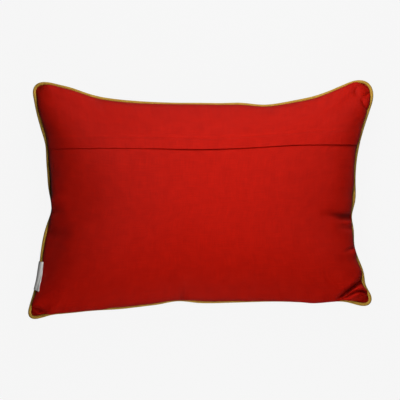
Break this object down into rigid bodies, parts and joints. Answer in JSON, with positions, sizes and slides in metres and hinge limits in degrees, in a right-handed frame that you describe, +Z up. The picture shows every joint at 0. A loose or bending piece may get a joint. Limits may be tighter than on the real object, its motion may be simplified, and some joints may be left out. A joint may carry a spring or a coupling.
{
  "type": "lumbar cushion",
  "caption": "Filled oblong cushion in red cotton with a lapped closure across its upper side, contrast piping all round and a blank side label.",
  "frame": {"origin": "middle of the cushion's outline, on the surface that it rests on", "axes": "+X along the long side, +Y towards the long edge that the lapped closure is nearest to, +Z up through the cushion's thickness, out of the closure side"},
  "size_m": [0.5936, 0.4108, 0.1428],
  "materials": {
    "red_cotton": "matte plain-weave cotton with fine slubs",
    "olive_gold_piping": "slightly lustrous woven cotton cut on the bias over a cord",
    "white_tape": "smooth woven tape, blank"
  },
  "bodies": {
    "root": {"filled_cushion": "red_cotton", "upper_back_panel": "red_cotton", "piping": "olive_gold_piping", "side_label": "white_tape"}
  },
  "joints": []
}
